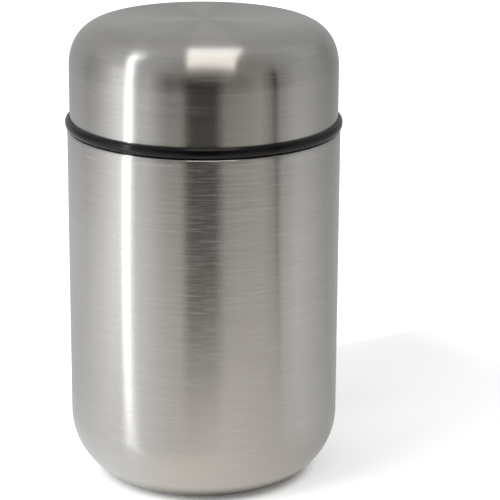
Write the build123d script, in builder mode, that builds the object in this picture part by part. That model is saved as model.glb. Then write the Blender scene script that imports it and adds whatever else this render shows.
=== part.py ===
from build123d import *
from math import cos, radians, sin, tan
import os

# Insulated food jar: a double-walled steel vessel, an insulated screw stopper with a
# push-button vent, and a steel cup that screws down over the stopper.
# Millimetres, +Z up, origin on the floor under the jar's axis.

# ---------------------------------------------------------------- driving dimensions
# jar
jar_radius = 50.0            # outside of the body
shoulder_height = 131.2      # ledge that the cup's ring comes down on
shoulder_edge = 1.4          # rounding of the body's top edge
heel_turn = 57.0             # degrees: how far the wall turns in before the heel runs straight
heel_flat = 1.2              # straight stretch of the heel between its two roundings
heel_wall_blend = 25.0       # rounding from the wall into the heel
heel_foot_blend = 11.0       # rounding from the heel into the foot
outer_wall = 0.5
inner_wall = 0.4
vacuum_gap = 3.4             # between the two walls

# foot and underside
foot_ring_width = 2.2        # flat ring that the jar stands on
foot_edge = 0.8              # rounding of the steps inside the foot
recess_depth = 2.5           # how far the middle of the underside is set up
recess_slope_run = 2.0
base_lip_width = 3.0         # lip inside the foot that the base disc is welded to
cover_wall = 0.4
cover_drop = 1.0             # underside cover hangs this far below the lip
cover_step = 0.5             # pressed step in the middle of the cover
cover_step_radius = 15.5
cover_bend = 0.45

# neck and mouth
neck_height = 16.8           # above the shoulder
neck_blend = 1.5
neck_vacuum_gap = 1.0        # between the two walls where they run up the neck
lip_bend = 0.4
inner_shoulder_rise = 6.0    # cone between the inner wall and the mouth
inner_shoulder_gap = 1.8     # vacuum left under the shoulder before the inner wall widens
inner_shoulder_blend = 6.0   # rounding from the wall into the cone
inner_neck_blend = 4.0       # rounding from the cone into the mouth
inner_floor_height = 9.0     # underside of the inner vessel's floor
inner_floor_blend = 16.0

# fits
seat_gap = 0.3               # between pieces that move on each other
press_gap = 0.1              # between pieces that are pressed or wrapped together
thread_space = 1.5           # room for a pair of threads

# stopper
skirt_wall = 1.9
skirt_drop = 12.0            # below the lip
stopper_rise = 10.0          # top face above the lip
stopper_top_wall = 2.5
stopper_top_edge = 1.2
grip_count = 36              # flutes round the top edge, for the fingers
grip_radius = 1.6
grip_depth = 0.7
grip_height = 5.0
dish_depth = 0.8             # shallow ring-shaped dish in the top face
dish_margin = 4.0
plug_clearance = 0.8
plug_depth = 24.5            # below the lip
plug_wall = 1.8
plug_corner = 5.0
gasket_height = 2.0
gasket_width = 3.0
gasket_edge = 0.6

# vent in the middle of the stopper
well_depth = 10.9
well_wall = 1.6
stem_radius = 2.4
stem_clearance = 0.9
stem_tube_wall = 1.7
button_radius = 10.2
button_rise = 1.8
button_wall = 1.5
button_edge = 0.7
button_dish_radius = 7.5
button_dish_depth = 0.7
button_flange_width = 0.8    # keeps the button under its collar
button_flange_height = 1.2
button_boss_wall = 1.3       # the boss on the stem ends the button's travel on the well's floor
vent_travel = 2.0
bezel_width = 2.6            # collar round the button, past the well's wall
bezel_sink = 1.0             # how deep the collar is let into the top face
bezel_rise = 0.4             # how far it stands above it
bezel_edge = 0.3
seal_radius = 6.0
seal_height = 1.5
stem_head_radius = 5.0
stem_head_height = 1.4
spring_radius = 6.4
spring_wire = 1.0
spring_turns = 4.0

# cup
cup_inset = 0.9              # the cup's wall stands this far inside the body's
cup_headroom = 11.7          # clear height between the stopper's top and the cup's inside
cup_wall = 0.5
cup_corner = 17.0            # rounding of the cup's top edge
corner_fullness = 0.63       # handle share: 0.55 is a plain arc, more is squarer
liner_air_gap = 1.0
liner_wall = 0.4
thread_collar_height = 14.8
thread_collar_wall = 1.9
thread_collar_edge = 0.6
ring_overhang = 0.8          # the ring stands this far outside the body
ring_height = 3.6
ring_groove_depth = 1.0      # how deep the cup's edge sits in the ring

# sealed inner parts of the vacuum space
foil_thickness = 0.1
foil_margin = 7.0            # bare stretch left above the foil
disc_wall = 0.7
dimple_radius = 6.0
dimple_depth = 1.4
dimple_blend = 1.0
evacuation_radius = 1.0      # hole that the air is drawn out through
seal_drop_margin = 1.5       # how far the sealing drop stays inside the dimple
getter_radius = 4.0
getter_height = 1.2
clip_width = 5.0
clip_thickness = 0.3
clip_foot = 2.6
clip_foot_bend = 0.4
clip_bend = 0.1

# ---------------------------------------------------------------- heights and radii that follow
# The radii are worked out from the body's wall inwards: cup, collar, skirt, neck, mouth.
cup_radius = jar_radius - cup_inset
ring_radius = jar_radius + ring_overhang
collar_outside = cup_radius - cup_wall - press_gap
collar_inside = collar_outside - thread_collar_wall
skirt_outside = collar_inside - thread_space + seat_gap
skirt_inside = skirt_outside - skirt_wall
neck_radius = skirt_inside - thread_space
mouth_radius = neck_radius - outer_wall - neck_vacuum_gap - inner_wall
plug_radius = mouth_radius - plug_clearance
vessel_radius = jar_radius - outer_wall - vacuum_gap

neck_top = shoulder_height + neck_height
lip_top = neck_top + inner_wall
inner_cone_top = shoulder_height - outer_wall - inner_shoulder_gap
inner_cone_bottom = inner_cone_top - inner_shoulder_rise
wall_turn = radians(heel_turn)
foot_turn = radians(90 - heel_turn)
heel_foot_reach = heel_foot_blend * tan(foot_turn / 2)
heel_length = heel_wall_blend * tan(wall_turn / 2) + heel_flat + heel_foot_reach
heel_height = heel_length * cos(wall_turn)
heel_radius = jar_radius - heel_length * sin(wall_turn)
foot_outer = heel_radius - heel_foot_reach
foot_inner = foot_outer - foot_ring_width
recess_edge = foot_inner - recess_slope_run
disc_bottom = recess_depth + outer_wall
disc_top = disc_bottom + disc_wall
disc_radius = recess_edge - press_gap
getter_offset = (dimple_radius + dimple_depth + disc_radius) / 2

stopper_top = lip_top + stopper_rise
stopper_ceiling = stopper_top - stopper_top_wall
plug_bottom = lip_top - plug_depth
plug_floor = plug_bottom + plug_wall
gasket_bottom = lip_top + seat_gap
gasket_top = gasket_bottom + gasket_height
gasket_inside = (mouth_radius + neck_radius - gasket_width) / 2
gasket_outside = gasket_inside + gasket_width
press_wall_inside = gasket_inside + gasket_edge
press_wall_outside = gasket_outside - gasket_edge

well_radius = button_radius + button_flange_width + seat_gap
well_outside = well_radius + well_wall
well_floor = stopper_top - well_depth
stem_bore = stem_radius + stem_clearance
stem_tube_radius = stem_bore + stem_tube_wall
bezel_inside = button_radius + seat_gap
bezel_outside = well_radius + bezel_width
bezel_bottom = stopper_top - bezel_sink
button_top = stopper_top + button_rise
button_ceiling = button_top - button_wall
flange_top = bezel_bottom - seat_gap
flange_bottom = flange_top - button_flange_height
boss_bottom = well_floor + vent_travel + seat_gap
seal_top = plug_bottom - seat_gap
seal_bottom = seal_top - seal_height

ring_bottom = shoulder_height + seat_gap
ring_top = ring_bottom + ring_height
ring_floor = ring_top - ring_groove_depth
groove_gap = 2 * press_gap
cup_edge = ring_floor + seat_gap
collar_bottom = ring_top + seat_gap
collar_top = collar_bottom + thread_collar_height
liner_inset = cup_wall + liner_air_gap
cup_height = stopper_top + cup_headroom + liner_wall + liner_inset

os.makedirs("parts", exist_ok=True)


def section(inner, outer, bottom, top, mode=Mode.ADD):
    """A rectangle between two radii and two heights, to be turned about the axis."""
    with Locations(((inner + outer) / 2, (bottom + top) / 2)):
        Rectangle(outer - inner, top - bottom, mode=mode)


def dome_outline(radius, bottom, top, corner):
    """Half outline of an upturned cup: open side down, full corner, flat top."""
    handle = corner * corner_fullness
    Polyline((radius, top - corner), (radius, bottom), (0, bottom), (0, top), (radius - corner, top))
    Bezier(
        (radius, top - corner),
        (radius, top - corner + handle),
        (radius - corner + handle, top),
        (radius - corner, top),
    )


def finish(piece, name):
    """Name the piece and write it to its own file."""
    piece.part.label = name
    export_step(piece.part, f"parts/{name}.step")


# ---------------------------------------------------------------- jar: outer shell
# One skin, drawn as the outside line from the mouth to the foot and thickened inwards.
with BuildPart() as outer_shell:
    with BuildSketch(Plane.XZ):
        with BuildLine():
            FilletPolyline(
                (neck_radius, neck_top),
                (neck_radius, shoulder_height),
                (jar_radius, shoulder_height),
                (jar_radius, heel_height),
                (heel_radius, 0),
                (foot_inner, 0),
                (recess_edge, recess_depth),
                (recess_edge - base_lip_width, recess_depth),
                radius=[neck_blend, shoulder_edge, heel_wall_blend, heel_foot_blend, foot_edge, foot_edge],
            )
            offset(amount=outer_wall, side=Side.RIGHT)
        make_face()
    revolve(axis=Axis.Z)
finish(outer_shell, "outer_shell")

# ---------------------------------------------------------------- jar: inner vessel
# The bottle that holds the food. Its rolled lip covers the end of the outer neck.
with BuildPart() as inner_vessel:
    with BuildSketch(Plane.XZ):
        with BuildLine():
            FilletPolyline(
                (neck_radius, neck_top),
                (mouth_radius + inner_wall, neck_top),
                (mouth_radius + inner_wall, inner_cone_top),
                (vessel_radius, inner_cone_bottom),
                (vessel_radius, inner_floor_height),
                (0, inner_floor_height),
                radius=[lip_bend, inner_neck_blend, inner_shoulder_blend, inner_floor_blend],
            )
            offset(amount=inner_wall, side=Side.RIGHT)
        make_face()
    revolve(axis=Axis.Z)
finish(inner_vessel, "inner_vessel")

# ---------------------------------------------------------------- jar: radiation foil
# Copper foil wrapped round the inner vessel, in the vacuum.
with BuildPart() as radiation_foil:
    with BuildSketch(Plane.XZ):
        section(
            vessel_radius + press_gap,
            vessel_radius + press_gap + foil_thickness,
            inner_floor_height + inner_floor_blend,
            inner_cone_bottom - foil_margin,
        )
    revolve(axis=Axis.Z)
finish(radiation_foil, "radiation_foil")

# ---------------------------------------------------------------- jar: base disc
# Closes the vacuum space. The air was drawn out through the hole in its dimple.
with BuildPart() as base_disc:
    with BuildSketch(Plane.XZ):
        with BuildLine():
            FilletPolyline(
                (disc_radius, disc_bottom),
                (dimple_radius + dimple_depth, disc_bottom),
                (dimple_radius, disc_bottom + dimple_depth),
                (evacuation_radius, disc_bottom + dimple_depth),
                radius=dimple_blend,
            )
            offset(amount=disc_wall, side=Side.RIGHT)
        make_face()
    revolve(axis=Axis.Z)
finish(base_disc, "base_disc")

# ---------------------------------------------------------------- jar: vacuum seal
# A drop of sealing glass lies in the dimple, under the hole.
with BuildPart() as vacuum_seal:
    with BuildSketch(Plane.XZ):
        with BuildLine():
            drop_radius = dimple_radius - seal_drop_margin
            drop_base = disc_bottom + dimple_depth
            drop_tip = disc_bottom + dimple_depth / 4
            Polyline((drop_radius, drop_base), (0, drop_base), (0, drop_tip))
            TangentArc((0, drop_tip), (drop_radius, drop_base), tangent=(1, 0))
        make_face()
    revolve(axis=Axis.Z)
finish(vacuum_seal, "vacuum_seal")

# ---------------------------------------------------------------- jar: underside cover
# A pressed steel pan, set into the foot ring under the lip, hides the seal.
with BuildPart() as base_cover:
    with BuildSketch(Plane.XZ):
        with BuildLine():
            cover_face = recess_depth - cover_drop
            FilletPolyline(
                (recess_edge - cover_drop, recess_depth),
                (recess_edge - cover_drop, cover_face),
                (cover_step_radius + cover_step, cover_face),
                (cover_step_radius, cover_face + cover_step),
                (0, cover_face + cover_step),
                radius=cover_bend,
            )
            offset(amount=cover_wall, side=Side.RIGHT)
        make_face()
    revolve(axis=Axis.Z)
finish(base_cover, "base_cover")

# ---------------------------------------------------------------- jar: getter and its clip
# The getter pill keeps the vacuum clean. A bent strip, welded to the disc, holds it down.
with BuildPart() as getter:
    with BuildSketch(Plane.XY.offset(disc_top)):
        with Locations((getter_offset, 0)):
            Circle(getter_radius)
    extrude(amount=getter_height)
    chamfer(getter.edges().group_by(Axis.Z)[-1], getter_height / 4)
finish(getter, "getter")

with BuildPart() as getter_clip:
    with BuildSketch(Plane.XZ):
        with BuildLine():
            bridge = disc_top + getter_height + press_gap
            reach = getter_radius + press_gap
            FilletPolyline(
                (getter_offset - reach - clip_foot, disc_top),
                (getter_offset - reach, disc_top),
                (getter_offset - reach, bridge),
                (getter_offset + reach, bridge),
                (getter_offset + reach, disc_top),
                (getter_offset + reach + clip_foot, disc_top),
                radius=[clip_foot_bend, clip_bend, clip_bend, clip_foot_bend],
            )
            offset(amount=clip_thickness, side=Side.LEFT)
        make_face()
    extrude(amount=clip_width / 2, both=True)
finish(getter_clip, "getter_clip")

# ---------------------------------------------------------------- stopper: cap
# Top disc and skirt in one moulding. The skirt screws down over the jar's neck, an inner
# wall presses the gasket on the lip, and a well in the middle takes the vent button.
with BuildPart() as stopper_cap:
    with BuildSketch(Plane.XZ):
        section(0, skirt_outside, stopper_ceiling, stopper_top)
        section(skirt_inside, skirt_outside, lip_top - skirt_drop, stopper_top)
        section(press_wall_inside, press_wall_outside, gasket_top + seat_gap, stopper_top)
        section(0, well_outside, well_floor - well_wall, stopper_top)
        section(0, well_radius, well_floor, stopper_top, mode=Mode.SUBTRACT)
        section(0, stem_bore, well_floor - well_wall, well_floor, mode=Mode.SUBTRACT)
        section(0, bezel_outside + press_gap, bezel_bottom, stopper_top, mode=Mode.SUBTRACT)
        section(
            bezel_outside + dish_margin,
            skirt_outside - dish_margin,
            stopper_top - dish_depth,
            stopper_top,
            mode=Mode.SUBTRACT,
        )
    revolve(axis=Axis.Z)
    top_rims = stopper_cap.edges().filter_by(GeomType.CIRCLE).group_by(Axis.Z)[-1]
    fillet(top_rims.sort_by(SortBy.RADIUS)[-1], stopper_top_edge)
    with BuildSketch(Plane.XY.offset(stopper_top - grip_height)):
        with PolarLocations(skirt_outside + grip_radius - grip_depth, grip_count):
            Circle(grip_radius)
    extrude(amount=grip_height, mode=Mode.SUBTRACT)
finish(stopper_cap, "stopper_cap")

# ---------------------------------------------------------------- stopper: plug
# A deep tub, welded under the cap, that reaches into the mouth. The tube in its middle is
# the vent's passage.
with BuildPart() as stopper_plug:
    with BuildSketch(Plane.XZ):
        section(0, plug_radius, plug_bottom, stopper_ceiling)
    revolve(axis=Axis.Z)
    fillet(stopper_plug.edges().group_by(Axis.Z)[0], plug_corner)
    tub_mouth = stopper_plug.faces().sort_by(Axis.Z)[-1]
    offset(amount=-plug_wall, openings=tub_mouth)
    with BuildSketch(Plane.XY.offset(plug_bottom)):
        Circle(stem_tube_radius)
    extrude(amount=well_floor - well_wall - plug_bottom)
    with BuildSketch(Plane.XY.offset(plug_bottom)):
        Circle(stem_bore)
    extrude(amount=well_floor - well_wall - plug_bottom, mode=Mode.SUBTRACT)
finish(stopper_plug, "stopper_plug")

# ---------------------------------------------------------------- stopper: foam core
with BuildPart() as stopper_foam:
    with BuildSketch(Plane.XZ):
        section(
            stem_tube_radius + press_gap,
            plug_radius - plug_wall - press_gap,
            plug_floor + press_gap,
            stopper_ceiling - press_gap,
        )
        section(
            0,
            well_outside + press_gap,
            well_floor - well_wall - press_gap,
            stopper_ceiling,
            mode=Mode.SUBTRACT,
        )
    revolve(axis=Axis.Z)
    lower_rim = stopper_foam.edges().filter_by(GeomType.CIRCLE).group_by(Axis.Z)[0]
    fillet(lower_rim.sort_by(SortBy.RADIUS)[-1], plug_corner - plug_wall)
finish(stopper_foam, "stopper_foam")

# ---------------------------------------------------------------- stopper: gasket
with BuildPart() as stopper_gasket:
    with BuildSketch(Plane.XZ):
        section(gasket_inside, gasket_outside, gasket_bottom, gasket_top)
    revolve(axis=Axis.Z)
    fillet(stopper_gasket.edges().filter_by(GeomType.CIRCLE), gasket_edge)
finish(stopper_gasket, "stopper_gasket")

# ---------------------------------------------------------------- vent: collar round the button
# Pressed into the top face. Its inner edge overhangs the well and keeps the button in.
with BuildPart() as button_collar:
    with BuildSketch(Plane.XZ):
        section(bezel_inside, bezel_outside, bezel_bottom, stopper_top + bezel_rise)
    revolve(axis=Axis.Z)
    collar_rims = button_collar.edges().filter_by(GeomType.CIRCLE).group_by(Axis.Z)[-1]
    fillet(collar_rims, bezel_edge)
finish(button_collar, "button_collar")

# ---------------------------------------------------------------- vent: button
# A hollow cap with a dished top, a flange under the collar, and a boss for the stem.
with BuildPart() as vent_button:
    with BuildSketch(Plane.XZ):
        section(0, button_radius, flange_bottom, button_top)
        section(0, button_radius + button_flange_width, flange_bottom, flange_top)
        section(0, button_radius - button_wall, flange_bottom, button_ceiling, mode=Mode.SUBTRACT)
        section(
            stem_radius + press_gap,
            stem_radius + press_gap + button_boss_wall,
            boss_bottom,
            button_ceiling,
        )
        dish_ball = (button_dish_radius**2 + button_dish_depth**2) / (2 * button_dish_depth)
        with Locations((0, button_top - button_dish_depth + dish_ball)):
            Circle(dish_ball, mode=Mode.SUBTRACT)
    revolve(axis=Axis.Z)
    button_rims = vent_button.edges().filter_by(GeomType.CIRCLE).group_by(Axis.Z)[-1]
    fillet(button_rims.sort_by(SortBy.RADIUS)[-1], button_edge)
finish(vent_button, "vent_button")

# ---------------------------------------------------------------- vent: stem
# Snapped into the button's boss. Its mushroom head carries the seal below the plug.
with BuildPart() as vent_stem:
    with BuildSketch(Plane.XZ):
        section(0, stem_radius, seal_bottom, button_ceiling)
        section(0, stem_head_radius, seal_bottom - stem_head_height, seal_bottom)
    revolve(axis=Axis.Z)
    stem_rims = vent_stem.edges().filter_by(GeomType.CIRCLE).group_by(Axis.Z)
    chamfer(stem_rims[0], stem_head_height / 2)
    chamfer(stem_rims[-1], stem_radius / 4)
finish(vent_stem, "vent_stem")

# ---------------------------------------------------------------- vent: seal
# A silicone washer on the stem. The spring pulls it up against the mouth of the passage.
with BuildPart() as vent_seal:
    with BuildSketch(Plane.XZ):
        section(stem_radius + press_gap, seal_radius, seal_bottom, seal_top)
    revolve(axis=Axis.Z)
    seal_rims = vent_seal.edges().filter_by(GeomType.CIRCLE)
    fillet(seal_rims.group_by(SortBy.RADIUS)[-1], seal_height / 4)
finish(vent_seal, "vent_seal")

# ---------------------------------------------------------------- vent: spring
# Stands on the well's floor and lifts the button.
spring_length = button_ceiling - well_floor - spring_wire - 2 * seat_gap
with BuildPart() as vent_spring:
    with BuildLine(Plane.XY.offset(well_floor + seat_gap + spring_wire / 2)):
        coil = Helix(spring_length / spring_turns, spring_length, spring_radius)
    with BuildSketch(Plane(origin=coil @ 0, z_dir=coil % 0)):
        Circle(spring_wire / 2)
    sweep(is_frenet=True)
finish(vent_spring, "vent_spring")

# ---------------------------------------------------------------- cup: ring under the rim
# A moulded ring with a rounded outer edge. The steel cup's edge stands in its groove.
with BuildPart() as cup_rim_ring:
    with BuildSketch(Plane.XZ):
        bead_centre = ring_radius - ring_height / 2
        section(collar_inside, bead_centre, ring_bottom, ring_top)
        with Locations((bead_centre, (ring_bottom + ring_top) / 2)):
            Circle(ring_height / 2)
        section(
            cup_radius - cup_wall - groove_gap,
            cup_radius + groove_gap,
            ring_floor,
            ring_top,
            mode=Mode.SUBTRACT,
        )
    revolve(axis=Axis.Z)
finish(cup_rim_ring, "cup_rim_ring")

# ---------------------------------------------------------------- cup: thread collar
# Pressed into the cup's mouth. Its inside carries the thread that runs on the stopper.
with BuildPart() as cup_thread_collar:
    with BuildSketch(Plane.XZ):
        section(collar_inside, collar_outside, collar_bottom, collar_top)
    revolve(axis=Axis.Z)
    inner_rims = cup_thread_collar.edges().filter_by(GeomType.CIRCLE).group_by(SortBy.RADIUS)[0]
    chamfer(inner_rims, thread_collar_edge)
finish(cup_thread_collar, "cup_thread_collar")

# ---------------------------------------------------------------- cup: steel shell
with BuildPart() as cup_shell:
    with BuildSketch(Plane.XZ):
        with BuildLine():
            dome_outline(cup_radius, cup_edge, cup_height, cup_corner)
        make_face()
        with BuildLine():
            dome_outline(cup_radius - cup_wall, cup_edge, cup_height - cup_wall, cup_corner - cup_wall)
        make_face(mode=Mode.SUBTRACT)
    revolve(axis=Axis.Z)
finish(cup_shell, "cup_shell")

# ---------------------------------------------------------------- cup: steel liner
# The second wall. It stands on the thread collar, an air gap away from the shell.
with BuildPart() as cup_liner:
    with BuildSketch(Plane.XZ):
        inset = liner_inset
        with BuildLine():
            dome_outline(cup_radius - inset, collar_top, cup_height - inset, cup_corner - inset)
        make_face()
        inset = liner_inset + liner_wall
        with BuildLine():
            dome_outline(cup_radius - inset, collar_top, cup_height - inset, cup_corner - inset)
        make_face(mode=Mode.SUBTRACT)
    revolve(axis=Axis.Z)
finish(cup_liner, "cup_liner")
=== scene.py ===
# %% [markdown]
# # Dressing an insulated food jar
# The engineering model gives the true shape of every part of this jar: a double-walled
# steel vessel, a screw stopper with a push-button vent, and a steel cup with a black ring
# round its rim. This lesson keeps those parts where they are and adds what they lack:
# the brushed grain of the steel, the moulded plastics, the threads, the welds and the
# spring. Everything is in metres, with the floor at height 0 under the jar's axis.

from math import cos, pi, radians, sin, tau

import bmesh
import bpy
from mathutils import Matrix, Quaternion, Vector


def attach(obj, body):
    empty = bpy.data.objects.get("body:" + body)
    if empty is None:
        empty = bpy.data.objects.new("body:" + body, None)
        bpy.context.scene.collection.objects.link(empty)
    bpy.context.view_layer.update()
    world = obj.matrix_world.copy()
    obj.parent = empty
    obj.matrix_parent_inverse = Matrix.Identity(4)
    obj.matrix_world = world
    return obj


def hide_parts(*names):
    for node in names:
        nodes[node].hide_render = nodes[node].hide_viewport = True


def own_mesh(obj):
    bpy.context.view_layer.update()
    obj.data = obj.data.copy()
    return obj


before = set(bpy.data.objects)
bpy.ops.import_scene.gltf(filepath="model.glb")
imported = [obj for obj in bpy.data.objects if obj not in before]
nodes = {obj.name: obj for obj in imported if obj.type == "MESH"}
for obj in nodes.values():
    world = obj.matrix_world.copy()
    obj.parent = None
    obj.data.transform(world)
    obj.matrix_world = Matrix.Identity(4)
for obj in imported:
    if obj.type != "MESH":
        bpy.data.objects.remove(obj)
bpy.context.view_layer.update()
mm = 0.001

# %% [markdown]
# ## Camera
# The jar is seen from a little above, through a long lens, so that its sides stay nearly
# parallel. A camera is only a spot, a direction and a lens. A tiny roll levels the floor:
# a hand-held camera is never quite straight.

# %% Camera
camera_spot = Vector((0.0, -0.7832, 0.3205))
camera_aim = Vector((0.01717, 0.00134, 0.08425))
camera_roll = radians(0.366)

camera_data = bpy.data.cameras.new("camera")
camera_data.sensor_width = 36.0
camera_data.lens = 158.0
camera = bpy.data.objects.new("camera", camera_data)
bpy.context.collection.objects.link(camera)
camera.location = camera_spot
camera.rotation_mode = "QUATERNION"
line_of_sight = (camera_aim - camera_spot).to_track_quat("-Z", "Y")
camera.rotation_quaternion = line_of_sight @ Quaternion((0, 0, 1), camera_roll)
bpy.context.scene.camera = camera
print("camera", round((camera_aim - camera_spot).length, 3), "m from the jar")

# %% [markdown]
# ## Small helpers for node materials
# A material is a graph: nodes that work out a colour, a roughness or a bump, joined by
# links. A few helpers keep the graphs readable: one adds a node and fills its inputs with
# numbers or links, the others do sums and soft steps and say where a point lies.


# %% Node helpers
def add_node(tree, kind, inputs=None, **settings):
    """Add a shader node. An input is a number or colour, or another node's output."""
    made = tree.nodes.new("ShaderNode" + kind)
    for name, value in settings.items():
        setattr(made, name, value)
    for name, value in (inputs or {}).items():
        socket = made.inputs[name]
        if isinstance(value, bpy.types.NodeSocket):
            tree.links.new(value, socket)
        else:
            socket.default_value = value
    return made


def work_out(tree, operation, first, second=0.0, third=0.0):
    """One sum on numbers or links."""
    made = add_node(tree, "Math", {0: first, 1: second, 2: third}, operation=operation)
    return made.outputs[0]


def product(tree, first, *others):
    """All the values multiplied together."""
    for other in others:
        first = work_out(tree, "MULTIPLY", first, other)
    return first


def ramp_between(tree, value, low, high, out_low=0.0, out_high=1.0):
    """A smooth step: out_low while value is under low, out_high above high."""
    limits = {"From Min": low, "From Max": high, "To Min": out_low, "To Max": out_high}
    made = add_node(tree, "MapRange", {"Value": value, **limits}, interpolation_type="SMOOTHSTEP")
    return made.outputs["Result"]


def length_of(tree, vector):
    """The length of a vector."""
    return add_node(tree, "VectorMath", {0: vector}, operation="LENGTH").outputs["Value"]


def place_and_reach(tree):
    """The x, y and z of the point that is shaded, and its distance from the jar's axis."""
    place = add_node(tree, "NewGeometry").outputs["Position"]
    x, y, z = add_node(tree, "SeparateXYZ", {0: place}).outputs
    flat = add_node(tree, "CombineXYZ", {0: x, 1: y}).outputs[0]
    return x, y, z, length_of(tree, flat)


def rays_that_look(tree):
    """1 for rays that show something: from the camera, off a mirror or through glass."""
    seen = add_node(tree, "LightPath").outputs
    camera_or_mirror = work_out(tree, "MAXIMUM", seen["Is Camera Ray"], seen["Is Glossy Ray"])
    return work_out(tree, "MAXIMUM", camera_or_mirror, seen["Is Transmission Ray"])


print("node helpers ready")

# %% [markdown]
# ## Small helpers for finishes
# Nearly every finish is put together from the same parts: a noise, a colour that the noise
# makes lighter or darker, and a bump that breaks up the reflections.


# %% Finish helpers
def new_finish(name):
    """A new node material: the material, its graph and its shader."""
    finish = bpy.data.materials.new(name)
    finish.use_nodes = True
    tree = finish.node_tree
    return finish, tree, tree.nodes["Principled BSDF"]


def empty_finish(name):
    """A node material with nothing in its graph yet."""
    finish, tree, _ = new_finish(name)
    tree.nodes.clear()
    return finish, tree


def noise(tree, vector, scale, detail, harshness):
    """Noise from 0 to 1, about 0.5 on average."""
    settings = {"Vector": vector, "Scale": scale, "Detail": detail, "Roughness": harshness}
    return add_node(tree, "TexNoise", settings).outputs["Fac"]


def shaded(tree, colour, shade):
    """The colour, made lighter or darker."""
    return add_node(tree, "VectorMath", {0: colour, "Scale": shade}, operation="SCALE").outputs[0]


def bumps(tree, height, depth, invert=False):
    """A bump that follows height and is depth metres deep."""
    settings = {"Height": height, "Strength": 1.0, "Distance": depth}
    return add_node(tree, "Bump", settings, invert=invert).outputs[0]


def feed(tree, shader, outputs):
    """Link outputs to the shader's inputs, by name."""
    for name, output in outputs.items():
        tree.links.new(output, shader.inputs[name])


print("finish helpers ready")

# %% [markdown]
# ## The floor
# The jar stands on plain white board. The floor catches the shadow, and a little light of
# its own, for what the camera and the reflections see, takes the lit part up to white.
# That light is not on the object: Light Path limits it to rays that look at the floor.
# It is cut back under the jar's foot and in the band where the shadow falls: a painted
# shadow that keeps the shadow pale, with a clear edge, and darkens it at the foot.


# %% Floor
white = (1.0, 1.0, 1.0, 1.0)
board_white = (0.93, 0.93, 0.93, 1.0)
shadow_direction = radians(33.0)
shadow_glow, floor_glow = 0.04, 0.42
floor_half_width = 6.0


def painted_shadow_band(tree, place):
    """Painted shadow: how much of the glow is taken away in the shadow's band, by metres along it
    and across it.
    """
    turn_back = {"Vector": place, "Angle": -shadow_direction}
    turned = add_node(tree, "VectorRotate", turn_back, rotation_type="Z_AXIS").outputs[0]
    along, across, _ = add_node(tree, "SeparateXYZ", {0: turned}).outputs
    front_side = ramp_between(tree, across, -0.056, -0.046, 0.0, 0.13)
    back_side = ramp_between(tree, across, -0.01, 0.075, 0.0, 0.24)
    back_edge = ramp_between(tree, across, 0.076, 0.088, 1.0, 0.4)
    behind_jar = ramp_between(tree, along, 0.0, 0.05)
    far_end = ramp_between(tree, along, 0.15, 0.2, 1.0, 0.3)
    both_sides = work_out(tree, "ADD", front_side, back_side)
    return product(tree, both_sides, back_edge, behind_jar, far_end)


def white_floor_finish():
    """White board whose lit part reads as pure white, with a painted shadow in its own glow."""
    finish, tree = empty_finish("white_board")
    place = add_node(tree, "NewGeometry").outputs["Position"]
    # painted contact shadow: the board's own glow is low under the jar's foot
    glow = ramp_between(tree, length_of(tree, place), 0.036, 0.043, shadow_glow, floor_glow)
    # painted shadow band: the glow is cut back where the shadow falls
    glow = work_out(tree, "SUBTRACT", glow, painted_shadow_band(tree, place))
    glow = product(tree, work_out(tree, "MAXIMUM", glow, 0.0), rays_that_look(tree))
    board = add_node(tree, "BsdfDiffuse", {"Color": board_white})
    own_light = add_node(tree, "Emission", {"Color": white, "Strength": glow})
    both = add_node(tree, "AddShader", {0: board.outputs[0], 1: own_light.outputs[0]})
    add_node(tree, "OutputMaterial", {"Surface": both.outputs[0]})
    return finish


floor_mesh = bpy.data.meshes.new("floor")
floor_form = bmesh.new()
bmesh.ops.create_grid(floor_form, x_segments=8, y_segments=8, size=floor_half_width)
floor_form.to_mesh(floor_mesh)
floor_form.free()
floor = bpy.data.objects.new("floor", floor_mesh)
bpy.context.collection.objects.link(floor)
floor_mesh.materials.append(white_floor_finish())
print("floor", [round(side, 1) for side in floor.dimensions])

# %% [markdown]
# ## A turned form
# Nearly everything on this jar was turned or spun, so most of the pieces come from one
# helper: it takes a half outline, a list of (radius, height), and turns it about the axis.


# %% Turning helper
def turned_mesh(name, outline, steps=128, closed=False):
    """Turn a half outline of (radius, height) about the Z axis."""
    mesh = bpy.data.meshes.new(name)
    corners, faces = [], []
    count = len(outline)
    for step in range(steps):
        turn = tau * step / steps
        corners += [(radius * cos(turn), radius * sin(turn), height) for radius, height in outline]
    for step in range(steps):
        here, there = step * count, (step + 1) % steps * count
        for index in range(count if closed else count - 1):
            after = (index + 1) % count
            faces.append((here + index, there + index, there + after, here + after))
    mesh.from_pydata(corners, [], faces)
    mesh.update()
    return mesh


def smooth(mesh):
    """Shade the mesh as one smooth surface."""
    mesh.polygons.foreach_set("use_smooth", [True] * len(mesh.polygons))
    mesh.update()


print("turning helper ready")

# %% [markdown]
# ## What the steel sees
# Brushed steel has hardly any colour of its own: it looks like its surroundings, smeared.
# So the studio is built as a wide bowl that only reflections see. A flat ring at its foot
# stands in for the white board. The board close to the jar, its middle, its far part, the
# walls and what hangs above each have a short list of brightnesses by direction, in degrees
# round the jar: 0 is the camera's side, positive to the right.

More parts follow.
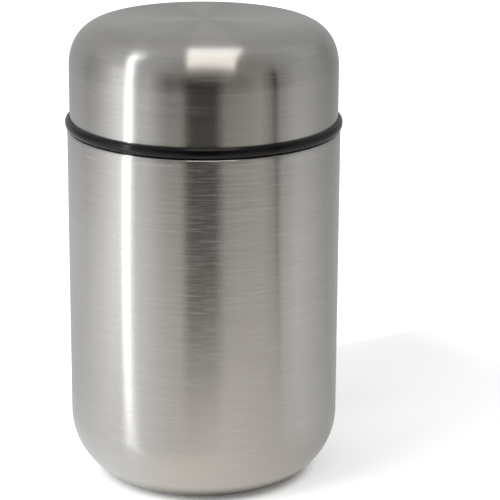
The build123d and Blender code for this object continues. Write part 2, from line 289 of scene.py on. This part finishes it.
# %% Studio levels
bowl_radius, board_height = 1.5, 0.0006
# the near and middle board are darker to the right, where the jar's shadow falls: painted shadow
near_levels = {
    -180: 0.65, -110: 0.8, -60: 0.95, -20: 0.9, 20: 0.75, 60: 0.6, 100: 0.45, 180: 0.65,
}
board_levels = {
    -180: 0.5, -120: 0.65, -75: 0.9, -45: 0.85, -20: 0.75, 10: 0.85, 40: 0.7, 75: 0.7,
    120: 0.45, 180: 0.5,
}
far_board_levels = {
    -180: 0.5, -110: 0.75, -90: 1.0, -74: 1.25, -60: 1.0, -40: 0.8, -18: 0.6, -12: 0.2,
    -8: 0.1, 8: 0.1, 17: 0.5, 28: 0.6, 42: 0.6, 57: 0.55, 60: 0.4, 64: 0.65, 80: 0.75,
    120: 0.45, 180: 0.5,
}
wall_levels = {
    -180: 0.45, -128: 0.45, -112: 0.35, -98: 0.45, -88: 0.65, -73: 1.1, -64: 0.9, -54: 0.55,
    -47: 0.55, -38: 0.3, -30: 0.12, -20: 0.15, -13: 0.0, 9: 0.0, 18: 0.15, 30: 0.2, 47: 0.35,
    57: 0.15, 60: 0.0, 66: 0.25, 83: 0.45, 96: 0.45, 130: 0.3, 180: 0.45,
}
upper_levels = {
    -180: 0.45, -135: 0.45, -90: 0.6, -45: 0.45, 0: 0.3, 45: 0.3, 90: 0.4, 112: 0.5,
    135: 0.4, 180: 0.45,
}
ceiling_level = 0.5
studio_lists = (near_levels, board_levels, far_board_levels, wall_levels, upper_levels)
print("studio stops:", [len(levels) for levels in studio_lists])

# %% [markdown]
# ## Soft windows and lists of levels
# A light is drawn as a soft-edged window: full inside, nothing outside. A list of levels
# becomes a colour ramp, and two zones are blended by how far the point lies from the axis,
# or by how high it stands.


# %% Studio helpers
def window(tree, value, middle, half_width, softness):
    """1 inside a soft-edged window round middle, 0 outside."""
    away = work_out(tree, "ABSOLUTE", work_out(tree, "SUBTRACT", value, middle))
    return ramp_between(tree, away, half_width, half_width + softness, 1.0, 0.0)


def blend_to(tree, share, level, towards):
    """level, moved towards another by share."""
    mixed = add_node(tree, "Mix", {0: share, 2: level, 3: towards}, data_type="FLOAT")
    return mixed.outputs[0]


def in_degrees(tree, first, second):
    """The angle whose tangent is first over second, in degrees."""
    return product(tree, work_out(tree, "ARCTAN2", first, second), 180.0 / pi)


def direction_of(tree, x, y):
    """Degrees round the axis: 0 is the camera's side, positive to the right."""
    return in_degrees(tree, x, product(tree, y, -1.0))


def level_by_direction(tree, turn, levels):
    """The brightness for a direction, read from a list of stops."""
    share = work_out(tree, "DIVIDE", work_out(tree, "ADD", turn, 180.0), 360.0)
    ramp = add_node(tree, "ValToRGB", {"Fac": share})
    stops = ramp.color_ramp.elements
    while len(stops) < len(levels):
        stops.new(0.5)
    for stop, (direction, level) in zip(stops, sorted(levels.items())):
        stop.position = (direction + 180) / 360
        stop.color = (level, level, level, 1.0)
    return ramp.outputs["Color"]


print("studio helpers ready")

# %% [markdown]
# ## The strip light, the softbox and the painted shadow at the jar's foot
# A tall strip light on the left has a soft glow with a narrow, bright core. It leans, so
# its direction changes with the distance and the height at which it is seen, and it ends
# softly at its foot and at its top. A small softbox hangs high in front, with edges that
# taper. Close to the jar's foot, the board that the steel sees is darkened by a painted
# shadow of the jar, which is darkest at the front right.

# %% Strip, softbox and contact shadow
strip_foot_x, strip_foot_y = -0.0238, -0.0544
strip_level, core_level = 0.9, 3.2
core_half_width, core_softness = 0.1, 2.2
glow_half_width, glow_softness = 0.6, 7.0
softbox_level = 1.2
softbox_x, softbox_y = 0.12, -0.38
softbox_half_width, softbox_half_depth = 0.33, 0.56


def strip_light(tree, x, y, reach, tilt):
    """Brightness of the strip light, by place, distance from the axis and height."""
    beside_x = work_out(tree, "SUBTRACT", x, strip_foot_x)
    beside_y = work_out(tree, "SUBTRACT", y, strip_foot_y)
    bearing = direction_of(tree, beside_x, beside_y)
    step_back = ramp_between(tree, reach, 0.50, 0.57, 0.0, 7.2)
    lean = ramp_between(tree, tilt, 16.0, 56.0, 73.0, 89.6)
    widening = ramp_between(tree, tilt, 16.0, 50.0, 1.0, 0.55)
    off = work_out(tree, "ADD", work_out(tree, "SUBTRACT", bearing, step_back), lean)
    off = product(tree, off, widening)
    core = window(tree, off, 0.0, core_half_width, core_softness)
    core = product(tree, core, core_level, ramp_between(tree, reach, 0.09, 0.2))
    strip_glow = window(tree, off, 0.0, glow_half_width, glow_softness)
    strip = work_out(tree, "ADD", core, strip_glow)
    top_fade = ramp_between(tree, tilt, 46.0, 66.0, 1.0, 0.0)
    foot_fade = ramp_between(tree, reach, 0.06, 0.11)
    return product(tree, strip, top_fade, foot_fade, strip_level)


def softbox_light(tree, x, y, z):
    """Brightness of the softbox, a window in x and y high over the jar's front."""
    taper = work_out(tree, "MULTIPLY_ADD", y, -0.34, 0.82)
    sideways = work_out(tree, "DIVIDE", work_out(tree, "SUBTRACT", x, softbox_x), taper)
    across = window(tree, sideways, 0.0, softbox_half_width, 0.07)
    deep = window(tree, y, softbox_y, softbox_half_depth, 0.2)
    high_up = ramp_between(tree, z, 0.5, 0.8)
    return product(tree, across, deep, high_up, softbox_level)


def painted_contact_shade(tree, reach, turn):
    """Painted shadow at the jar's foot: 1 away from it, little close to it."""
    close = ramp_between(tree, reach, 0.037, 0.0435, 1.0, 0.0)
    depth = ramp_between(tree, turn, -60.0, 10.0, 0.3, 0.85)
    return work_out(tree, "SUBTRACT", 1.0, product(tree, close, depth))


def studio_tint(tree, turn):
    """Nearly white all round, a little cooler on the left and warmer in front."""
    left = window(tree, turn, -100.0, 30.0, 35.0)
    front = product(tree, window(tree, turn, 18.0, 34.0, 30.0), 0.7)
    cool = {0: left, 6: (1.0, 1.0, 0.99, 1.0), 7: (1.0, 1.0, 1.01, 1.0)}
    tint = add_node(tree, "Mix", cool, data_type="RGBA").outputs[2]
    warm = {0: front, 6: tint, 7: (1.0, 0.93, 0.84, 1.0)}
    return add_node(tree, "Mix", warm, data_type="RGBA").outputs[2]


print("strip, softbox and contact shadow ready")

# %% [markdown]
# ## The bowl itself
# The lists are laid over each other, the walls first, then the board from far to near, then
# what hangs above. The lights come on top. The bowl is turned from a quarter circle, and
# nothing but a reflection sees it.

# %% Studio bowl
board_zones = (
    # levels, and the distance from the axis up to which they hold fully and at all
    (far_board_levels, 0.35, 0.75),
    (board_levels, 0.12, 0.30),
    (near_levels, 0.05, 0.12),
)


def studio_finish():
    """The brightness of the studio, by direction and height."""
    finish, tree = empty_finish("studio_walls")
    x, y, z, reach = place_and_reach(tree)
    turn = direction_of(tree, x, y)
    tilt = in_degrees(tree, z, reach)
    level = level_by_direction(tree, turn, wall_levels)
    for levels, fully, at_all in board_zones:
        share = ramp_between(tree, reach, fully, at_all, 1.0, 0.0)
        level = blend_to(tree, share, level, level_by_direction(tree, turn, levels))
    above = level_by_direction(tree, turn, upper_levels)
    level = blend_to(tree, ramp_between(tree, tilt, 18.0, 34.0), level, above)
    level = blend_to(tree, ramp_between(tree, tilt, 58.0, 80.0), level, ceiling_level)
    level = work_out(tree, "ADD", level, strip_light(tree, x, y, reach, tilt))
    # painted shadow at the jar's foot, in the board that the steel sees
    level = product(tree, level, painted_contact_shade(tree, reach, turn))
    level = work_out(tree, "ADD", level, softbox_light(tree, x, y, z))
    light = add_node(tree, "Emission", {"Color": studio_tint(tree, turn), "Strength": level})
    add_node(tree, "OutputMaterial", {"Surface": light.outputs[0]})
    finish.cycles.emission_sampling = "NONE"
    return finish


def bowl_outline():
    """A flat ring that stands in for the board, and a quarter circle over it."""
    outline = [(radius, board_height) for radius in (0.036, 0.08, 0.14, 0.3, 0.8, bowl_radius)]
    for degrees in range(3, 90, 3):
        across, up = cos(radians(degrees)), sin(radians(degrees))
        outline.append((bowl_radius * across, board_height + bowl_radius * up))
    return outline + [(0.0, bowl_radius)]


studio_bowl = bpy.data.objects.new("studio_bowl", turned_mesh("studio_bowl", bowl_outline(), 120))
bpy.context.collection.objects.link(studio_bowl)
studio_bowl.data.materials.append(studio_finish())
studio_bowl.visible_camera = False
studio_bowl.visible_diffuse = False
studio_bowl.visible_transmission = False
studio_bowl.visible_shadow = False
studio_bowl.visible_volume_scatter = False
print("studio bowl", [round(side, 1) for side in studio_bowl.dimensions])

# %% [markdown]
# ## Light
# Two plain lights do the rest: an even grey glow from all round, and one large, soft lamp
# from the front left that throws the shadow to the right and back. A sun lamp with a wide
# disc is the simplest large lamp, as it lights the whole floor evenly. Reflections don't
# see it, because the studio bowl already holds its lamps.

# %% Lamps and world
key_data = bpy.data.lights.new("key_light", "SUN")
key_data.energy = 1.3
key_data.angle = radians(34.0)
key = bpy.data.objects.new("key_light", key_data)
bpy.context.collection.objects.link(key)
key_turn, key_height = radians(-57.0), radians(38.0)
key.location = (sin(key_turn) * cos(key_height), -cos(key_turn) * cos(key_height), sin(key_height))
key.rotation_mode = "QUATERNION"
key.rotation_quaternion = (-key.location).to_track_quat("-Z", "Y")
key.visible_glossy = False

even_glow = 0.78
world = bpy.data.worlds.new("studio_air")
bpy.context.scene.world = world
world.use_nodes = True
air = world.node_tree
air.nodes.clear()
glow = add_node(air, "Background", {"Color": white, "Strength": even_glow}).outputs[0]
backdrop = add_node(air, "Background", {"Color": white, "Strength": 1.0}).outputs[0]
shown = add_node(air, "MixShader", {0: rays_that_look(air), 1: glow, 2: backdrop}).outputs[0]
add_node(air, "OutputWorld", {"Surface": shown})
bpy.context.scene.view_settings.view_transform = "Standard"
print("lamps: key light and even glow")

# %% [markdown]
# ## Brushed steel
# The jar and its cup were spun against an abrasive belt, which leaves fine grooves that
# run round the axis. Two things make that look. The shader is told that the surface is
# rougher across the grooves than along them (anisotropy, with a tangent that runs round
# Z), so that highlights smear up and down. And a noise that is stretched round the axis
# gives the hair lines: it is fed with x and y, hardly scaled, and with height minus
# radius, scaled a lot, so that the lines stay thin on the wall, over the rounded shoulder
# and on the flat top alike. Below the middle the sign turns, so that the same holds for
# the rounded heel. Two more such noises, one for long lines and one that cuts them into
# pieces, give short strokes, which scatter a little light instead of mirroring it. On the
# body these strokes show. The cup was brushed finer and has hardly any.

# %% Brushed steel
body_middle = 80 * mm
quarter_turn = 0.25
hair_scale, line_scale, piece_scale = (0.4, 1.0), (0.16, 0.7), (1.4, 0.6)


def groove_vector(tree, along, across):
    """A position that changes slowly along the grooves and quickly across them."""
    x, y, z, radius = place_and_reach(tree)
    side = work_out(tree, "SIGN", work_out(tree, "SUBTRACT", z, body_middle))
    rise = work_out(tree, "SUBTRACT", z, product(tree, side, radius))
    slow_x, slow_y = product(tree, x, along), product(tree, y, along)
    scaled = {0: slow_x, 1: slow_y, 2: product(tree, rise, across)}
    return add_node(tree, "CombineXYZ", scaled).outputs[0]


def groove_noise(tree, stroke, scale, detail):
    """Noise that runs round the axis. stroke is its (length, width) in metres."""
    (length, width), (along, across) = stroke, scale
    return noise(tree, groove_vector(tree, along / length, across / width), 1.0, detail, 0.55)


def steel_finish(name, colour, roughness, stretch, stroke, contrast, depth, wear=0.1):
    """Steel with grooves round the axis. stroke is (length, width) in metres, contrast the
    change of tone in the hair lines, and wear how much the short strokes scatter."""
    finish, tree, shader = new_finish(name)
    hair = groove_noise(tree, stroke, hair_scale, 1.0)
    lines = groove_noise(tree, stroke, line_scale, 0.0)
    pieces = groove_noise(tree, stroke, piece_scale, 0.0)
    lines = ramp_between(tree, lines, 0.44, 0.68)
    marks = product(tree, lines, ramp_between(tree, pieces, 0.42, 0.6))
    shade = ramp_between(tree, hair, 0.3, 0.7, 1.0 - contrast, 1.0 + contrast)
    haze = product(tree, ramp_between(tree, hair, 0.45, 0.75), wear * 0.5)
    mirror = ramp_between(tree, marks, 0.0, 1.0, 1.0, 1.0 - wear)
    outputs = {
        "Base Color": shaded(tree, colour, shade),
        "Metallic": work_out(tree, "SUBTRACT", mirror, haze),
        "Roughness": ramp_between(tree, marks, 0.0, 1.0, roughness * 0.98, roughness * 1.15),
        "Normal": bumps(tree, hair, depth),
        "Tangent": add_node(tree, "Tangent", direction_type="RADIAL", axis="Z").outputs[0],
    }
    feed(tree, shader, outputs)
    shader.inputs["Anisotropic"].default_value = stretch
    shader.inputs["Anisotropic Rotation"].default_value = quarter_turn
    return finish


belt_brushed = {
    "colour": (0.58, 0.57, 0.55),
    "roughness": 0.19,
    "stretch": 1.0,
    "stroke": (10 * mm, 0.24 * mm),
    "depth": 0.002 * mm,
}
brushed_steel = steel_finish("brushed_steel", contrast=0.025, wear=0.15, **belt_brushed)
cup_steel = steel_finish("brushed_cup_steel", contrast=0.03, wear=0.02, **belt_brushed)
inner_steel = steel_finish(
    "satin_inner_steel",
    (0.60, 0.60, 0.59),
    roughness=0.24,
    stretch=0.5,
    stroke=(20 * mm, 0.3 * mm),
    contrast=0.03,
    depth=0.001 * mm,
)
spring_steel = steel_finish(
    "spring_steel",
    (0.56, 0.56, 0.57),
    roughness=0.2,
    stretch=0.3,
    stroke=(6 * mm, 0.2 * mm),
    contrast=0.03,
    depth=0.001 * mm,
)
print("steel:", [steel.name for steel in (brushed_steel, cup_steel, inner_steel, spring_steel)])

# %% [markdown]
# ## Plastics, silicone and the hidden metals
# Moulded plastic is one colour right through. What shows that it was moulded is its skin:
# a polished tool leaves a faint ripple, an eroded one a fine grit. Each recipe is the same
# few nodes with other numbers: a grit noise for bump, a slow one for patches of sheen.

# %% Moulded and cast finishes
patches_per_metre = 90.0


def moulded_finish(name, colour, roughness, grit, depth, uneven=0.06, metallic=0.0):
    """A moulded or cast skin. grit is the size of its fine texture in metres, uneven how
    much the slow patches change its tone and its roughness."""
    finish, tree, shader = new_finish(name)
    place = add_node(tree, "NewGeometry").outputs["Position"]
    fine = noise(tree, place, 1 / grit, 3.0, 0.6)
    patches = noise(tree, place, patches_per_metre, 2.0, 0.5)
    less, more = 1.0 - uneven, 1.0 + uneven
    outputs = {
        "Base Color": shaded(tree, colour, ramp_between(tree, patches, 0.3, 0.7, less, more)),
        "Roughness": ramp_between(tree, patches, 0.3, 0.7, roughness * less, roughness * more),
        "Normal": bumps(tree, fine, depth),
    }
    feed(tree, shader, outputs)
    shader.inputs["Metallic"].default_value = metallic
    return finish


def shader_of(finish):
    """The shader inside a finish."""
    return finish.node_tree.nodes["Principled BSDF"]


gloss_black = moulded_finish(
    "gloss_black_plastic", (0.003, 0.003, 0.0035), 0.12, 1.5 * mm, 0.002 * mm
)
shader_of(gloss_black).inputs["Specular IOR Level"].default_value = 0.3
matte_black = moulded_finish(
    "matte_black_plastic", (0.022, 0.022, 0.023), 0.46, 0.35 * mm, 0.02 * mm
)
grey_plastic = moulded_finish("grey_plastic", (0.30, 0.31, 0.32), 0.38, 0.4 * mm, 0.012 * mm)
silicone = moulded_finish("silicone", (0.62, 0.63, 0.62), 0.42, 0.6 * mm, 0.01 * mm)
shader_of(silicone).inputs["Subsurface Weight"].default_value = 0.25
shader_of(silicone).inputs["Subsurface Scale"].default_value = 1.5 * mm
copper_foil = moulded_finish(
    "copper_foil", (0.80, 0.44, 0.30), 0.26, 6 * mm, 0.25 * mm, uneven=0.1, metallic=1.0
)
sealing_glass = moulded_finish("sealing_glass", (0.09, 0.07, 0.05), 0.09, 2 * mm, 0.02 * mm)
getter_metal = moulded_finish(
    "pressed_getter_powder", (0.22, 0.22, 0.23), 0.62, 0.2 * mm, 0.03 * mm, 0.15, 0.6
)
print("moulded and cast finishes ready")

# %% [markdown]
# ## Foam
# The plug is filled with poured foam: closed bubbles of about a millimetre. A cell noise
# draws them, as rounded bumps with thin dark joints.

# %% Foam finish
foam_colour = (0.86, 0.85, 0.80)
cells_per_metre = 900.0
cell_depth = 0.15 * mm


def foam_finish():
    """Poured foam: a bumpy skin of small round cells."""
    finish, tree, shader = new_finish("poured_foam")
    place = add_node(tree, "NewGeometry").outputs["Position"]
    settings = {"Vector": place, "Scale": cells_per_metre}
    cells = add_node(tree, "TexVoronoi", settings, feature="SMOOTH_F1")
    from_middle = cells.outputs["Distance"]
    joints = ramp_between(tree, from_middle, 0.25, 0.8, 1.0, 0.82)
    outputs = {
        "Base Color": shaded(tree, foam_colour, joints),
        "Normal": bumps(tree, from_middle, cell_depth, invert=True),
    }
    feed(tree, shader, outputs)
    shader.inputs["Roughness"].default_value = 0.85
    return finish


poured_foam = foam_finish()
print("foam ready")

# %% [markdown]
# ## Finishes on the parts
# Each part of the model now gets the finish of what it is made of, in all of its slots.

# %% Put the finishes on the parts
part_finishes = {
    brushed_steel: ("outer_shell", "base_cover"),
    cup_steel: ("cup_shell",),
    inner_steel: ("inner_vessel", "cup_liner", "base_disc"),
    spring_steel: ("getter_clip", "vent_spring"),
    copper_foil: ("radiation_foil",),
    sealing_glass: ("vacuum_seal",),
    getter_metal: ("getter",),
    gloss_black: ("cup_rim_ring", "button_collar"),
    matte_black: ("stopper_cap", "stopper_plug", "vent_stem", "cup_thread_collar"),
    grey_plastic: ("vent_button",),
    silicone: ("stopper_gasket", "vent_seal"),
    poured_foam: ("stopper_foam",),
}
for finish, names in part_finishes.items():
    for name in names:
        for slot in nodes[name].material_slots:
            slot.material = finish
dressed = {name for names in part_finishes.values() for name in names}
print("finished parts:", len(dressed), "left bare:", sorted(set(nodes) - dressed))

# %% [markdown]
# ## Pieces that the engineering model leaves out
# The model keeps the plain walls that the threads stand on. Real threads, welds and seals
# are small, but they are what shows when the jar is opened. Each new piece is a mesh of
# its own that rides on the part which carries it.


# %% Adding a piece
def add_piece(name, mesh, body, slot, finish):
    """Link a mesh as a piece of the object, riding on one of its moving groups."""
    smooth(mesh)
    mesh.materials.append(finish)
    piece = bpy.data.objects.new(name, mesh)
    bpy.context.collection.objects.link(piece)
    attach(piece, body)
    print(name, "on", body, [round(side / mm, 1) for side in piece.dimensions])
    return piece


# %% [markdown]
# ## Threads
# A screw thread is a ridge that climbs round a wall. The jar, like most food jars, has
# three short ridges that start a third of a turn apart, so that it opens in one easy
# twist: one whole turn lifts the stopper by 12 mm. A ridge is drawn as a rounded section
# carried along a helix. Its height fades out at both ends, as on a real thread, rolled or
# moulded. The steel neck has a soft, rolled wave and the plastic parts have flatter crests.
# Each pair of threads is set so that the loose one hangs just under the fixed one.

# %% Thread ridges
thread_lead = 12.0 * mm
thread_starts = 3
thread_fade = radians(24.0)
thread_step = radians(4.0)
root_sink = 0.06 * mm
hang = -1.65 * mm
# a ridge's section: (rise in mm, share of the way from the wall to the crest)
rolled_wave = [
    (-1.1, 0.0), (-0.75, 0.18), (-0.42, 0.66), (0.0, 1.0), (0.42, 0.66), (0.75, 0.18), (1.1, 0.0),
]
moulded_ridge = [(-0.95, 0.0), (-0.6, 0.82), (-0.38, 1.0), (0.38, 1.0), (0.6, 0.82), (0.95, 0.0)]


def ridge_faces(first, count, steps):
    """Faces of the ridge whose corners start at first: its skin, its foot and its ends."""
    faces = []
    for step in range(steps):
        here, there = first + step * count, first + (step + 1) * count
        for index in range(count - 1):
            faces.append((here + index, there + index, there + index + 1, here + index + 1))
        faces.append((here, here + count - 1, there + count - 1, there))
    last = first + steps * count
    faces.append(tuple(first + index for index in range(count)))
    faces.append(tuple(last + index for index in reversed(range(count))))
    return faces


def thread_mesh(name, wall, crest, bottom, top, section, shift):
    """Three ridges from the wall's radius to the crest's, between two heights."""
    corners, faces = [], []
    whole_turn = (top - bottom) / thread_lead * tau
    steps = int(whole_turn / thread_step) + 1
    sunk = root_sink * (1 if wall > crest else -1)
    for start in range(thread_starts):
        faces += ridge_faces(len(corners), len(section), steps)
        for step in range(steps + 1):
            turn = whole_turn * step / steps
            fade = min(1.0, turn / thread_fade, (whole_turn - turn) / thread_fade)
            fade = fade * fade * (3 - 2 * fade)
            angle = turn + tau * start / thread_starts
            middle = bottom + thread_lead * turn / tau + shift
            for rise, share in section:
                radius = wall + sunk * (1 - share) + (crest - wall) * share * fade
                height = middle + rise * mm * (0.35 + 0.65 * fade)
                corners.append((radius * cos(angle), radius * sin(angle), height))
    mesh = bpy.data.meshes.new(name)
    mesh.from_pydata(corners, [], faces)
    form = bmesh.new()
    form.from_mesh(mesh)
    bmesh.ops.recalc_face_normals(form, faces=form.faces)
    form.to_mesh(mesh)
    form.free()
    return mesh


on_jar = ("jar", "brushed_steel", brushed_steel)
on_stopper = ("stopper", "matte_black", matte_black)
on_cup = ("cup", "matte_black", matte_black)
threads = (
    # name, (wall, crest, bottom, top) in mm, section, shift, then body, slot and finish
    ("neck_thread", (42.0, 43.05, 136.2, 145.2), rolled_wave, 0.0, on_jar),
    ("stopper_inner_thread", (43.5, 42.45, 139.4, 146.2), moulded_ridge, hang, on_stopper),
    ("stopper_outer_thread", (45.4, 46.2, 138.6, 147.6), moulded_ridge, 0.0, on_stopper),
    ("cup_thread", (46.6, 45.75, 138.8, 148.0), moulded_ridge, hang, on_cup),
)
for name, sizes, section, shift, carrier in threads:
    wall, crest, bottom, top = (size * mm for size in sizes)
    add_piece(name, thread_mesh(name, wall, crest, bottom, top, section, shift), *carrier)

# %% [markdown]
# ## Vent spring
# A short compression spring holds the vent shut. Its end turns are closed and ground flat,
# so that it stands square on the well's floor. The model's plain helix is replaced by one
# with those dead turns: the rise per turn is one wire at both ends and wide in between.
# The button travels 2 mm; here the spring stays as drawn, riding on the stopper with a
# mesh of its own.

# %% Vent spring
spring_foot, spring_head = 147.8 * mm, 158.66 * mm
spring_radius, wire_radius = 6.4 * mm, 0.5 * mm
dead_turn, live_turns = 0.9, 3.2
dead_pitch, ground_off = 2.06 * wire_radius, 0.12 * mm
wire_sides, turn_parts = 12, 48


def spring_height(turns):
    """Height of the wire's middle after that many turns."""
    low, high = spring_foot + wire_radius, spring_head - wire_radius
    dead_rise = dead_pitch * dead_turn
    if turns < dead_turn:
        return low + dead_rise * turns / dead_turn
    if turns > dead_turn + live_turns:
        return high - dead_rise * (2 * dead_turn + live_turns - turns) / dead_turn
    share = (turns - dead_turn) / live_turns
    return low + dead_rise + (high - low - 2 * dead_rise) * share


def spring_mesh(name):
    """Round wire carried along the helix, with both ends ground flat."""
    mesh = bpy.data.meshes.new(name)
    corners, faces = [], []
    all_turns = 2 * dead_turn + live_turns
    steps = int(all_turns * turn_parts)
    for step in range(steps + 1):
        turns = all_turns * step / steps
        angle = tau * turns
        for side in range(wire_sides):
            around = tau * side / wire_sides
            radius = spring_radius + wire_radius * cos(around)
            height = spring_height(turns) + wire_radius * sin(around)
            height = min(max(height, spring_foot + ground_off), spring_head - ground_off)
            corners.append((radius * cos(angle), radius * sin(angle), height))
    for step in range(steps):
        here, there = step * wire_sides, (step + 1) * wire_sides
        for side in range(wire_sides):
            after = (side + 1) % wire_sides
            faces.append((here + side, here + after, there + after, there + side))
    faces.append(tuple(reversed(range(wire_sides))))
    faces.append(tuple(steps * wire_sides + side for side in range(wire_sides)))
    mesh.from_pydata(corners, [], faces)
    mesh.update()
    return mesh


spring_form = spring_mesh("wound_spring")
spring = add_piece("wound_spring", spring_form, "stopper", "spring_steel", spring_steel)
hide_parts("vent_spring")
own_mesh(spring)

# %% [markdown]
# ## Welds and seals
# The vacuum is kept in by welds. One runs round the mouth, where the inner vessel's rolled
# lip meets the outer neck, and one holds the underside cover. A weld bead is a low, round
# ridge with a fine ripple from the moving arc. The gasket has two soft ribs that press on
# the lip. All four are turned forms; the beads get their ripple by moving the turned points
# a little.

# %% Beads and ribs
weld_swell, bead_sides = 0.16, 10
rib_half_width, rib_base, rib_crest = 0.32 * mm, 148.75 * mm, 148.5 * mm


def bead_mesh(name, radius, height, size, ripples, steps=720):
    """A round weld bead, rippled by the passes of the arc."""
    around = [tau * side / bead_sides for side in range(bead_sides)]
    ring = [(radius + size * cos(angle), height + size * sin(angle)) for angle in around]
    mesh = turned_mesh(name, ring, steps, closed=True)
    for corner in mesh.vertices:
        step = corner.index // len(ring)
        swell = 1 + weld_swell * abs(sin(pi * ripples * step / steps))
        flat = Vector((corner.co.x, corner.co.y, 0))
        middle = flat.normalized() * radius + Vector((0, 0, height))
        corner.co = middle + (corner.co - middle) * swell
    mesh.update()
    return mesh


def rib_ring(middle, parts=8):
    """Half outline of a round rib that hangs from the gasket's underside."""
    points = []
    for part in range(parts + 1):
        angle = pi * part / parts
        radius = middle - rib_half_width * cos(angle)
        points.append((radius, rib_base + (rib_crest - rib_base) * sin(angle)))
    return points


welds = (
    # name, radius, height and size of the bead, number of ripples
    ("mouth_weld", 42.0 * mm, 147.95 * mm, 0.16 * mm, 240),
    ("underside_weld", 26.45 * mm, 2.42 * mm, 0.28 * mm, 150),
)
for name, radius, height, size, ripples in welds:
    bead = bead_mesh(name, radius, height, size, ripples)
    add_piece(name, bead, "jar", "brushed_steel", inner_steel)
for name, middle in (("gasket_inner_rib", 40.4 * mm), ("gasket_outer_rib", 41.6 * mm)):
    rib = turned_mesh(name, rib_ring(middle), 192, closed=True)
    add_piece(name, rib, "stopper_seal", "silicone", silicone)

# %% [markdown]
# ## The black ring under the cup's rim
# The ring is a thick round bead of glossy rubber. Its groove takes the cup's steel edge,
# and outside the groove the bead climbs a little up the cup's wall, so that the steel seems
# to grow out of it. The model's ring is a plainer, lower bead. Here it is turned again from
# a fuller outline: underside, round outer face, rolled upper edge and groove.

# %% Rim ring
ring_edge, ring_middle = 50.75, 134.2  # in mm: the outer radius and the height of the middle


def rounded(middle, reach, rise, squareness, first, last, step):
    """Part of an oval, (radius, height) in mm. 2 is a true oval, more is squarer."""
    points = []
    for degrees in range(first, last + 1, step):
        across, up = cos(radians(degrees)), sin(radians(degrees))
        across = max(across, 0.0) ** (2 / squareness)
        up = (1 if up > 0 else -1) * abs(up) ** (2 / squareness)
        points.append((middle[0] + reach * across, middle[1] + rise * up))
    return points


def rim_ring_outline():
    """Half outline of the ring, in metres."""
    points = [(46.7, 131.62), (46.82, 131.5), (48.8, 131.5), (48.92, 131.62), (48.96, 132.1)]
    points += rounded((ring_edge - 1.4, ring_middle), 1.4, 1.95, 2.0, -90, -6, 6)
    points += rounded((ring_edge - 1.5, ring_middle), 1.5, 1.85, 2.8, 0, 88, 4)
    points += [(49.2, 135.95), (49.2, 134.12), (48.42, 134.12), (48.42, 135.06)]
    points += [(46.82, 135.06), (46.7, 134.94)]
    return [(radius * mm, height * mm) for radius, height in points]


ring_form = turned_mesh("rim_ring", rim_ring_outline(), 256, closed=True)
rim_ring = add_piece("rim_ring", ring_form, "cup_ring", "gloss_black", gloss_black)
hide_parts("cup_rim_ring")

# %% [markdown]
# ## The low rim round the shoulder
# The body's top edge is drawn up into a low rim, and the black ring sits down inside it, so
# that no gap shows between the steel and the ring. The rim is one more turned form, sunk
# into the model's rounded edge.


# %% Shoulder rim
def shoulder_rim_outline():
    """Half outline of the rim, in metres."""
    points = [(49.3, 130.4), (49.9, 129.72), (50.0, 129.78), (50.0, 129.785)]
    points += rounded((49.15, 131.15), 0.85, 0.85, 2.0, 0, 90, 9)
    points += [(49.06, 131.9), (49.06, 131.0)]
    return [(radius * mm, height * mm) for radius, height in points]


shoulder_rim = turned_mesh("shoulder_rim", shoulder_rim_outline(), 256, closed=True)
add_piece("shoulder_rim", shoulder_rim, "jar", "brushed_steel", brushed_steel)
